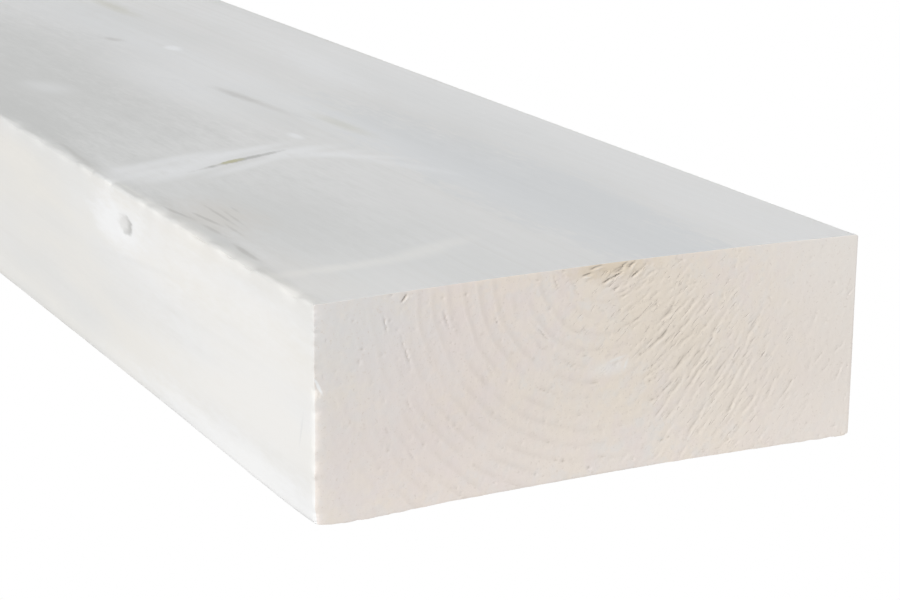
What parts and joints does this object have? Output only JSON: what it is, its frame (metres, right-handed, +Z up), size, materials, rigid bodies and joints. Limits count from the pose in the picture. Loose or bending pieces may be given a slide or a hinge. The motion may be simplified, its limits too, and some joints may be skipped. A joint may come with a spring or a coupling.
{
  "type": "timber plank",
  "caption": "Sawn softwood plank with square-cut ends, slightly cupped wide faces, eased long arrises and small knots.",
  "frame": {"origin": "middle of the plank's footprint, on the level that it rests on", "axes": "+X along the grain, +Y across the width, +Z up through the thickness"},
  "size_m": [1.8, 0.125, 0.0447],
  "materials": {
    "timber": "sawn"
  },
  "bodies": {
    "root": {"plank": "timber"}
  },
  "joints": []
}
